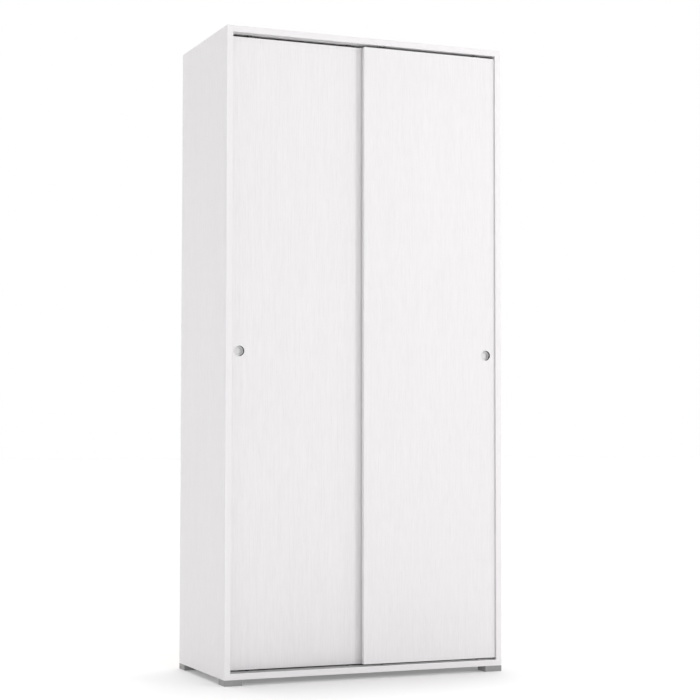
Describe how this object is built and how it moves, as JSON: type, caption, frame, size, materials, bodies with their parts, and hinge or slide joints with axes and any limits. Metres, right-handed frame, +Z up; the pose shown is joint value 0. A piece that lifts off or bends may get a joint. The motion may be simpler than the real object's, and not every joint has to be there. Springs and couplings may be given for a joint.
{
  "type": "sliding door wardrobe",
  "caption": "Tall white wardrobe with overlapping sliding doors on a floor track, round finger pulls, a hanging side and a shelved side.",
  "frame": {"origin": "on the floor under the middle of the wardrobe", "axes": "+X to the right seen from the front, +Y to the back, +Z up; the doors face -Y"},
  "size_m": [0.88, 0.45, 1.9],
  "materials": {
    "carcass_laminate": "white melamine laminate on particle board, satin, with a very fine pale ash grain",
    "door_laminate": "white melamine laminate on particle board, satin, with a fine upright pale ash grain",
    "back_board": "thin hardboard, matte white lacquer inside and bare brown fibre behind",
    "foot_plastic": "mid-grey moulded plastic, fine satin texture",
    "track_metal": "grey anodised aluminium profile",
    "guide_plastic": "dark grey moulded plastic, satin",
    "channel_plastic": "pale grey moulded plastic, satin",
    "pull_metal": "pale satin metal",
    "rail_metal": "polished chromed oval tube and brackets",
    "fitting_steel": "bright zinc-plated steel",
    "buffer_rubber": "pale translucent soft rubber, matte"
  },
  "bodies": {
    "carcass": {"left_side_panel": "carcass_laminate", "right_side_panel": "carcass_laminate", "top_panel": "carcass_laminate", "bottom_panel": "carcass_laminate", "centre_partition": "carcass_laminate", "back_panel_left": "back_board", "back_panel_right": "back_board", "cam_lock_left_front": "fitting_steel", "cam_lock_left_back": "fitting_steel", "cam_lock_right_front": "fitting_steel", "cam_lock_right_back": "fitting_steel", "foot_front_left": "foot_plastic", "foot_back_left": "foot_plastic", "foot_front_right": "foot_plastic", "foot_back_right": "foot_plastic", "hat_shelf": "carcass_laminate", "fixed_shelf": "carcass_laminate", "adjustable_shelf_lower": "carcass_laminate", "adjustable_shelf_upper": "carcass_laminate", "shelf_pin_lower_left_front": "fitting_steel", "shelf_pin_lower_left_back": "fitting_steel", "shelf_pin_lower_right_front": "fitting_steel", "shelf_pin_lower_right_back": "fitting_steel", "shelf_pin_upper_left_front": "fitting_steel", "shelf_pin_upper_left_back": "fitting_steel", "shelf_pin_upper_right_front": "fitting_steel", "shelf_pin_upper_right_back": "fitting_steel", "hanging_rail": "rail_metal", "rail_bracket_outer": "rail_metal", "rail_bracket_screw_outer": "fitting_steel", "rail_bracket_inner": "rail_metal", "rail_bracket_screw_inner": "fitting_steel", "bottom_track": "track_metal", "top_channel_front": "channel_plastic", "top_channel_rear": "channel_plastic", "door_buffer_left_front": "buffer_rubber", "door_buffer_left_rear": "buffer_rubber", "door_buffer_right_front": "buffer_rubber", "door_buffer_right_rear": "buffer_rubber"},
    "left_door": {"left_door_panel": "door_laminate", "left_finger_pull": "pull_metal", "left_door_roller_housing_left": "guide_plastic", "left_door_axle_left": "fitting_steel", "left_door_top_guide_left": "guide_plastic", "left_door_roller_housing_right": "guide_plastic", "left_door_axle_right": "fitting_steel", "left_door_top_guide_right": "guide_plastic"},
    "left_door_wheel_left_body": {"left_door_wheel_left": "guide_plastic"},
    "left_door_wheel_right_body": {"left_door_wheel_right": "guide_plastic"},
    "right_door": {"right_door_panel": "door_laminate", "right_finger_pull": "pull_metal", "right_door_roller_housing_left": "guide_plastic", "right_door_axle_left": "fitting_steel", "right_door_top_guide_left": "guide_plastic", "right_door_roller_housing_right": "guide_plastic", "right_door_axle_right": "fitting_steel", "right_door_top_guide_right": "guide_plastic"},
    "right_door_wheel_left_body": {"right_door_wheel_left": "guide_plastic"},
    "right_door_wheel_right_body": {"right_door_wheel_right": "guide_plastic"}
  },
  "joints": [
    {"name": "left_door_slide", "type": "slide", "parent": "carcass", "child": "left_door", "axis": [1, 0, 0], "range_m": [0, 0.4114]},
    {"name": "left_door_wheel_left_spin", "type": "hinge", "parent": "left_door", "child": "left_door_wheel_left_body", "pos_m": [-0.3614, -0.189, 0.0475], "axis": [0, 1, 0], "continuous": true},
    {"name": "left_door_wheel_right_spin", "type": "hinge", "parent": "left_door", "child": "left_door_wheel_right_body", "pos_m": [-0.05, -0.189, 0.0475], "axis": [0, 1, 0], "continuous": true},
    {"name": "right_door_slide", "type": "slide", "parent": "carcass", "child": "right_door", "axis": [1, 0, 0], "range_m": [-0.4114, 0]},
    {"name": "right_door_wheel_left_spin", "type": "hinge", "parent": "right_door", "child": "right_door_wheel_left_body", "pos_m": [0.05, -0.211, 0.0475], "axis": [0, 1, 0], "continuous": true},
    {"name": "right_door_wheel_right_spin", "type": "hinge", "parent": "right_door", "child": "right_door_wheel_right_body", "pos_m": [0.3614, -0.211, 0.0475], "axis": [0, 1, 0], "continuous": true}
  ],
  "couplings": [
    {"joint": "left_door_wheel_left_spin", "follows": "left_door_slide", "rad_per_m": 100},
    {"joint": "left_door_wheel_right_spin", "follows": "left_door_slide", "rad_per_m": 100},
    {"joint": "right_door_wheel_left_spin", "follows": "right_door_slide", "rad_per_m": 100},
    {"joint": "right_door_wheel_right_spin", "follows": "right_door_slide", "rad_per_m": 100}
  ]
}
